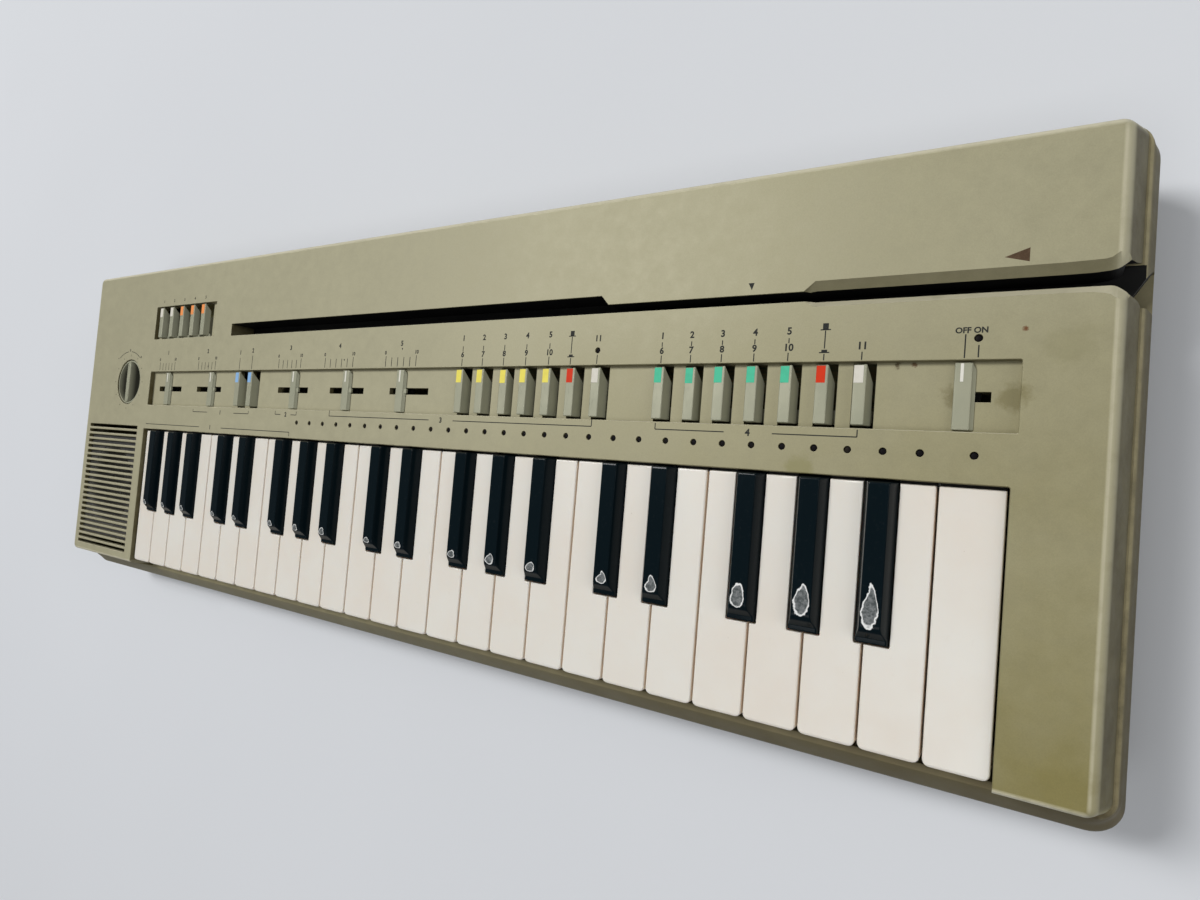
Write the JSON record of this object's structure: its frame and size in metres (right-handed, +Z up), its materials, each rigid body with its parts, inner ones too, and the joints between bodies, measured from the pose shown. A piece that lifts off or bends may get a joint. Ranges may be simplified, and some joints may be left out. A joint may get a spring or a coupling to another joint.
{
  "type": "portable keyboard",
  "caption": "Portable mini-key keyboard with a side speaker grille, a sunken row of sliders and push buttons, guide lamps and a card slot.",
  "frame": {"origin": "middle of the underside of the feet, at the centre of the whole box", "axes": "+X along the keys from the lowest note to the highest, +Y from the player to the back, +Z up"},
  "size_m": [0.6488, 0.22, 0.0563],
  "materials": {
    "case_paint": "champagne satin paint on moulded plastic",
    "lower_case_paint": "darker champagne satin paint on moulded plastic",
    "white_key": "warm white gloss plastic",
    "black_key": "near-black gloss plastic",
    "control_plastic": "grey-olive satin plastic",
    "chassis_steel": "plain sheet steel",
    "circuit_board": "green-brown board",
    "speaker_steel": "black painted steel",
    "speaker_cone": "black doped paper cone",
    "lamp_lens": "dark red lamp lens, unlit",
    "button_insert": "coloured translucent insert",
    "legend_ink": "dark slate printed marks",
    "foot_rubber": "dark rubber pad",
    "screw_steel": "plated screw head",
    "contact_metal": "nickel contact"
  },
  "bodies": {
    "case": {"top_case": "case_paint", "bottom_case": "lower_case_paint", "key_chassis": "chassis_steel", "circuit_board": "circuit_board", "speaker": "speaker_steel"},
    "battery_door": {"battery_door": "lower_case_paint"},
    "transpose_dial": {"transpose_dial": "control_plastic"},
    "master_volume_slider": {"master_volume_slider": "control_plastic"},
    "chord_volume_slider": {"chord_volume_slider": "control_plastic"},
    "arpeggio_volume_slider": {"arpeggio_volume_slider": "control_plastic"},
    "rhythm_volume_slider": {"rhythm_volume_slider": "control_plastic"},
    "tempo_slider": {"tempo_slider": "control_plastic"},
    "power_slider": {"power_slider": "control_plastic"},
    "accompaniment_buttons": {"accompaniment_buttons": "control_plastic"},
    "voice_buttons": {"voice_buttons": "control_plastic"},
    "card_buttons": {"card_buttons": "control_plastic"},
    "key_F2": {"key_F2": "white_key"},
    "key_Fsharp2": {"key_Fsharp2": "black_key"},
    "key_G2": {"key_G2": "white_key"},
    "key_Gsharp2": {"key_Gsharp2": "black_key"},
    "key_A2": {"key_A2": "white_key"},
    "key_Asharp2": {"key_Asharp2": "black_key"},
    "key_B2": {"key_B2": "white_key"},
    "key_C3": {"key_C3": "white_key"},
    "key_Csharp3": {"key_Csharp3": "black_key"},
    "key_D3": {"key_D3": "white_key"},
    "key_Dsharp3": {"key_Dsharp3": "black_key"},
    "key_E3": {"key_E3": "white_key"},
    "key_F3": {"key_F3": "white_key"},
    "key_Fsharp3": {"key_Fsharp3": "black_key"},
    "key_G3": {"key_G3": "white_key"},
    "key_Gsharp3": {"key_Gsharp3": "black_key"},
    "key_A3": {"key_A3": "white_key"},
    "key_Asharp3": {"key_Asharp3": "black_key"},
    "key_B3": {"key_B3": "white_key"},
    "key_C4": {"key_C4": "white_key"},
    "key_Csharp4": {"key_Csharp4": "black_key"},
    "key_D4": {"key_D4": "white_key"},
    "key_Dsharp4": {"key_Dsharp4": "black_key"},
    "key_E4": {"key_E4": "white_key"},
    "key_F4": {"key_F4": "white_key"},
    "key_Fsharp4": {"key_Fsharp4": "black_key"},
    "key_G4": {"key_G4": "white_key"},
    "key_Gsharp4": {"key_Gsharp4": "black_key"},
    "key_A4": {"key_A4": "white_key"},
    "key_Asharp4": {"key_Asharp4": "black_key"},
    "key_B4": {"key_B4": "white_key"},
    "key_C5": {"key_C5": "white_key"},
    "key_Csharp5": {"key_Csharp5": "black_key"},
    "key_D5": {"key_D5": "white_key"},
    "key_Dsharp5": {"key_Dsharp5": "black_key"},
    "key_E5": {"key_E5": "white_key"},
    "key_F5": {"key_F5": "white_key"},
    "key_Fsharp5": {"key_Fsharp5": "black_key"},
    "key_G5": {"key_G5": "white_key"},
    "key_Gsharp5": {"key_Gsharp5": "black_key"},
    "key_A5": {"key_A5": "white_key"},
    "key_Asharp5": {"key_Asharp5": "black_key"},
    "key_B5": {"key_B5": "white_key"},
    "key_C6": {"key_C6": "white_key"}
  },
  "joints": [
    {"name": "battery_door_slide", "type": "slide", "parent": "case", "child": "battery_door", "axis": [1, 0, 0], "range_m": [0, 0.012]},
    {"name": "transpose_turn", "type": "hinge", "parent": "case", "child": "transpose_dial", "pos_m": [-0.2581, 0.0264, 0.0494], "axis": [0, 0, -1], "range_deg": [-150, 180]},
    {"name": "master_volume_slide", "type": "slide", "parent": "case", "child": "master_volume_slider", "axis": [1, 0, 0], "range_m": [-0.0109, 0.0137]},
    {"name": "chord_volume_slide", "type": "slide", "parent": "case", "child": "chord_volume_slider", "axis": [1, 0, 0], "range_m": [-0.0163, 0.0083]},
    {"name": "arpeggio_volume_slide", "type": "slide", "parent": "case", "child": "arpeggio_volume_slider", "axis": [1, 0, 0], "range_m": [-0.0145, 0.0101]},
    {"name": "rhythm_volume_slide", "type": "slide", "parent": "case", "child": "rhythm_volume_slider", "axis": [1, 0, 0], "range_m": [-0.0131, 0.0115]},
    {"name": "tempo_slide", "type": "slide", "parent": "case", "child": "tempo_slider", "axis": [1, 0, 0], "range_m": [-0.0072, 0.0174]},
    {"name": "power_slide", "type": "slide", "parent": "case", "child": "power_slider", "axis": [1, 0, 0], "range_m": [0, 0.0062]},
    {"name": "accompaniment_press", "type": "slide", "parent": "case", "child": "accompaniment_buttons", "axis": [0, 0, -1], "range_m": [0, 0.0025], "stiffness_N_per_m": 250, "springref_m": -0.004},
    {"name": "voice_press", "type": "slide", "parent": "case", "child": "voice_buttons", "axis": [0, 0, -1], "range_m": [0, 0.0025], "stiffness_N_per_m": 250, "springref_m": -0.004},
    {"name": "card_press", "type": "slide", "parent": "case", "child": "card_buttons", "axis": [0, 0, -1], "range_m": [0, 0.0025], "stiffness_N_per_m": 250, "springref_m": -0.004},
    {"name": "key_F2_press", "type": "hinge", "parent": "case", "child": "key_F2", "pos_m": [-0.2205, -0.003, 0.0455], "axis": [1, 0, 0], "range_deg": [0, 3.2], "stiffness_Nm_per_rad": 0.35, "springref_deg": -6.88},
    {"name": "key_Fsharp2_press", "type": "hinge", "parent": "case", "child": "key_Fsharp2", "pos_m": [-0.21336, -0.003, 0.0455], "axis": [1, 0, 0], "range_deg": [0, 3.2], "stiffness_Nm_per_rad": 0.35, "springref_deg": -6.88},
    {"name": "key_G2_press", "type": "hinge", "parent": "case", "child": "key_G2", "pos_m": [-0.2005, -0.003, 0.0455], "axis": [1, 0, 0], "range_deg": [0, 3.2], "stiffness_Nm_per_rad": 0.35, "springref_deg": -6.88},
    {"name": "key_Gsharp2_press", "type": "hinge", "parent": "case", "child": "key_Gsharp2", "pos_m": [-0.1905, -0.003, 0.0455], "axis": [1, 0, 0], "range_deg": [0, 3.2], "stiffness_Nm_per_rad": 0.35, "springref_deg": -6.88},
    {"name": "key_A2_press", "type": "hinge", "parent": "case", "child": "key_A2", "pos_m": [-0.1805, -0.003, 0.0455], "axis": [1, 0, 0], "range_deg": [0, 3.2], "stiffness_Nm_per_rad": 0.35, "springref_deg": -6.88},
    {"name": "key_Asharp2_press", "type": "hinge", "parent": "case", "child": "key_Asharp2", "pos_m": [-0.16764, -0.003, 0.0455], "axis": [1, 0, 0], "range_deg": [0, 3.2], "stiffness_Nm_per_rad": 0.35, "springref_deg": -6.88},
    {"name": "key_B2_press", "type": "hinge", "parent": "case", "child": "key_B2", "pos_m": [-0.1605, -0.003, 0.0455], "axis": [1, 0, 0], "range_deg": [0, 3.2], "stiffness_Nm_per_rad": 0.35, "springref_deg": -6.88},
    {"name": "key_C3_press", "type": "hinge", "parent": "case", "child": "key_C3", "pos_m": [-0.1405, -0.003, 0.0455], "axis": [1, 0, 0], "range_deg": [0, 3.2], "stiffness_Nm_per_rad": 0.35, "springref_deg": -6.88},
    {"name": "key_Csharp3_press", "type": "hinge", "parent": "case", "child": "key_Csharp3", "pos_m": [-0.13193, -0.003, 0.0455], "axis": [1, 0, 0], "range_deg": [0, 3.2], "stiffness_Nm_per_rad": 0.35, "springref_deg": -6.88},
    {"name": "key_D3_press", "type": "hinge", "parent": "case", "child": "key_D3", "pos_m": [-0.1205, -0.003, 0.0455], "axis": [1, 0, 0], "range_deg": [0, 3.2], "stiffness_Nm_per_rad": 0.35, "springref_deg": -6.88},
    {"name": "key_Dsharp3_press", "type": "hinge", "parent": "case", "child": "key_Dsharp3", "pos_m": [-0.10907, -0.003, 0.0455], "axis": [1, 0, 0], "range_deg": [0, 3.2], "stiffness_Nm_per_rad": 0.35, "springref_deg": -6.88},
    {"name": "key_E3_press", "type": "hinge", "parent": "case", "child": "key_E3", "pos_m": [-0.1005, -0.003, 0.0455], "axis": [1, 0, 0], "range_deg": [0, 3.2], "stiffness_Nm_per_rad": 0.35, "springref_deg": -6.88},
    {"name": "key_F3_press", "type": "hinge", "parent": "case", "child": "key_F3", "pos_m": [-0.0805, -0.003, 0.0455], "axis": [1, 0, 0], "range_deg": [0, 3.2], "stiffness_Nm_per_rad": 0.35, "springref_deg": -6.88},
    {"name": "key_Fsharp3_press", "type": "hinge", "parent": "case", "child": "key_Fsharp3", "pos_m": [-0.07336, -0.003, 0.0455], "axis": [1, 0, 0], "range_deg": [0, 3.2], "stiffness_Nm_per_rad": 0.35, "springref_deg": -6.88},
    {"name": "key_G3_press", "type": "hinge", "parent": "case", "child": "key_G3", "pos_m": [-0.0605, -0.003, 0.0455], "axis": [1, 0, 0], "range_deg": [0, 3.2], "stiffness_Nm_per_rad": 0.35, "springref_deg": -6.88},
    {"name": "key_Gsharp3_press", "type": "hinge", "parent": "case", "child": "key_Gsharp3", "pos_m": [-0.0505, -0.003, 0.0455], "axis": [1, 0, 0], "range_deg": [0, 3.2], "stiffness_Nm_per_rad": 0.35, "springref_deg": -6.88},
    {"name": "key_A3_press", "type": "hinge", "parent": "case", "child": "key_A3", "pos_m": [-0.0405, -0.003, 0.0455], "axis": [1, 0, 0], "range_deg": [0, 3.2], "stiffness_Nm_per_rad": 0.35, "springref_deg": -6.88},
    {"name": "key_Asharp3_press", "type": "hinge", "parent": "case", "child": "key_Asharp3", "pos_m": [-0.02764, -0.003, 0.0455], "axis": [1, 0, 0], "range_deg": [0, 3.2], "stiffness_Nm_per_rad": 0.35, "springref_deg": -6.88},
    {"name": "key_B3_press", "type": "hinge", "parent": "case", "child": "key_B3", "pos_m": [-0.0205, -0.003, 0.0455], "axis": [1, 0, 0], "range_deg": [0, 3.2], "stiffness_Nm_per_rad": 0.35, "springref_deg": -6.88},
    {"name": "key_C4_press", "type": "hinge", "parent": "case", "child": "key_C4", "pos_m": [-0.0005, -0.003, 0.0455], "axis": [1, 0, 0], "range_deg": [0, 3.2], "stiffness_Nm_per_rad": 0.35, "springref_deg": -6.88},
    {"name": "key_Csharp4_press", "type": "hinge", "parent": "case", "child": "key_Csharp4", "pos_m": [0.00807, -0.003, 0.0455], "axis": [1, 0, 0], "range_deg": [0, 3.2], "stiffness_Nm_per_rad": 0.35, "springref_deg": -6.88},
    {"name": "key_D4_press", "type": "hinge", "parent": "case", "child": "key_D4", "pos_m": [0.0195, -0.003, 0.0455], "axis": [1, 0, 0], "range_deg": [0, 3.2], "stiffness_Nm_per_rad": 0.35, "springref_deg": -6.88},
    {"name": "key_Dsharp4_press", "type": "hinge", "parent": "case", "child": "key_Dsharp4", "pos_m": [0.03093, -0.003, 0.0455], "axis": [1, 0, 0], "range_deg": [0, 3.2], "stiffness_Nm_per_rad": 0.35, "springref_deg": -6.88},
    {"name": "key_E4_press", "type": "hinge", "parent": "case", "child": "key_E4", "pos_m": [0.0395, -0.003, 0.0455], "axis": [1, 0, 0], "range_deg": [0, 3.2], "stiffness_Nm_per_rad": 0.35, "springref_deg": -6.88},
    {"name": "key_F4_press", "type": "hinge", "parent": "case", "child": "key_F4", "pos_m": [0.0595, -0.003, 0.0455], "axis": [1, 0, 0], "range_deg": [0, 3.2], "stiffness_Nm_per_rad": 0.35, "springref_deg": -6.88},
    {"name": "key_Fsharp4_press", "type": "hinge", "parent": "case", "child": "key_Fsharp4", "pos_m": [0.06664, -0.003, 0.0455], "axis": [1, 0, 0], "range_deg": [0, 3.2], "stiffness_Nm_per_rad": 0.35, "springref_deg": -6.88},
    {"name": "key_G4_press", "type": "hinge", "parent": "case", "child": "key_G4", "pos_m": [0.0795, -0.003, 0.0455], "axis": [1, 0, 0], "range_deg": [0, 3.2], "stiffness_Nm_per_rad": 0.35, "springref_deg": -6.88},
    {"name": "key_Gsharp4_press", "type": "hinge", "parent": "case", "child": "key_Gsharp4", "pos_m": [0.0895, -0.003, 0.0455], "axis": [1, 0, 0], "range_deg": [0, 3.2], "stiffness_Nm_per_rad": 0.35, "springref_deg": -6.88},
    {"name": "key_A4_press", "type": "hinge", "parent": "case", "child": "key_A4", "pos_m": [0.0995, -0.003, 0.0455], "axis": [1, 0, 0], "range_deg": [0, 3.2], "stiffness_Nm_per_rad": 0.35, "springref_deg": -6.88},
    {"name": "key_Asharp4_press", "type": "hinge", "parent": "case", "child": "key_Asharp4", "pos_m": [0.11236, -0.003, 0.0455], "axis": [1, 0, 0], "range_deg": [0, 3.2], "stiffness_Nm_per_rad": 0.35, "springref_deg": -6.88},
    {"name": "key_B4_press", "type": "hinge", "parent": "case", "child": "key_B4", "pos_m": [0.1195, -0.003, 0.0455], "axis": [1, 0, 0], "range_deg": [0, 3.2], "stiffness_Nm_per_rad": 0.35, "springref_deg": -6.88},
    {"name": "key_C5_press", "type": "hinge", "parent": "case", "child": "key_C5", "pos_m": [0.1395, -0.003, 0.0455], "axis": [1, 0, 0], "range_deg": [0, 3.2], "stiffness_Nm_per_rad": 0.35, "springref_deg": -6.88},
    {"name": "key_Csharp5_press", "type": "hinge", "parent": "case", "child": "key_Csharp5", "pos_m": [0.14807, -0.003, 0.0455], "axis": [1, 0, 0], "range_deg": [0, 3.2], "stiffness_Nm_per_rad": 0.35, "springref_deg": -6.88},
    {"name": "key_D5_press", "type": "hinge", "parent": "case", "child": "key_D5", "pos_m": [0.1595, -0.003, 0.0455], "axis": [1, 0, 0], "range_deg": [0, 3.2], "stiffness_Nm_per_rad": 0.35, "springref_deg": -6.88},
    {"name": "key_Dsharp5_press", "type": "hinge", "parent": "case", "child": "key_Dsharp5", "pos_m": [0.17093, -0.003, 0.0455], "axis": [1, 0, 0], "range_deg": [0, 3.2], "stiffness_Nm_per_rad": 0.35, "springref_deg": -6.88},
    {"name": "key_E5_press", "type": "hinge", "parent": "case", "child": "key_E5", "pos_m": [0.1795, -0.003, 0.0455], "axis": [1, 0, 0], "range_deg": [0, 3.2], "stiffness_Nm_per_rad": 0.35, "springref_deg": -6.88},
    {"name": "key_F5_press", "type": "hinge", "parent": "case", "child": "key_F5", "pos_m": [0.1995, -0.003, 0.0455], "axis": [1, 0, 0], "range_deg": [0, 3.2], "stiffness_Nm_per_rad": 0.35, "springref_deg": -6.88},
    {"name": "key_Fsharp5_press", "type": "hinge", "parent": "case", "child": "key_Fsharp5", "pos_m": [0.20664, -0.003, 0.0455], "axis": [1, 0, 0], "range_deg": [0, 3.2], "stiffness_Nm_per_rad": 0.35, "springref_deg": -6.88},
    {"name": "key_G5_press", "type": "hinge", "parent": "case", "child": "key_G5", "pos_m": [0.2195, -0.003, 0.0455], "axis": [1, 0, 0], "range_deg": [0, 3.2], "stiffness_Nm_per_rad": 0.35, "springref_deg": -6.88},
    {"name": "key_Gsharp5_press", "type": "hinge", "parent": "case", "child": "key_Gsharp5", "pos_m": [0.2295, -0.003, 0.0455], "axis": [1, 0, 0], "range_deg": [0, 3.2], "stiffness_Nm_per_rad": 0.35, "springref_deg": -6.88},
    {"name": "key_A5_press", "type": "hinge", "parent": "case", "child": "key_A5", "pos_m": [0.2395, -0.003, 0.0455], "axis": [1, 0, 0], "range_deg": [0, 3.2], "stiffness_Nm_per_rad": 0.35, "springref_deg": -6.88},
    {"name": "key_Asharp5_press", "type": "hinge", "parent": "case", "child": "key_Asharp5", "pos_m": [0.25236, -0.003, 0.0455], "axis": [1, 0, 0], "range_deg": [0, 3.2], "stiffness_Nm_per_rad": 0.35, "springref_deg": -6.88},
    {"name": "key_B5_press", "type": "hinge", "parent": "case", "child": "key_B5", "pos_m": [0.2595, -0.003, 0.0455], "axis": [1, 0, 0], "range_deg": [0, 3.2], "stiffness_Nm_per_rad": 0.35, "springref_deg": -6.88},
    {"name": "key_C6_press", "type": "hinge", "parent": "case", "child": "key_C6", "pos_m": [0.2795, -0.003, 0.0455], "axis": [1, 0, 0], "range_deg": [0, 3.2], "stiffness_Nm_per_rad": 0.35, "springref_deg": -6.88}
  ]
}
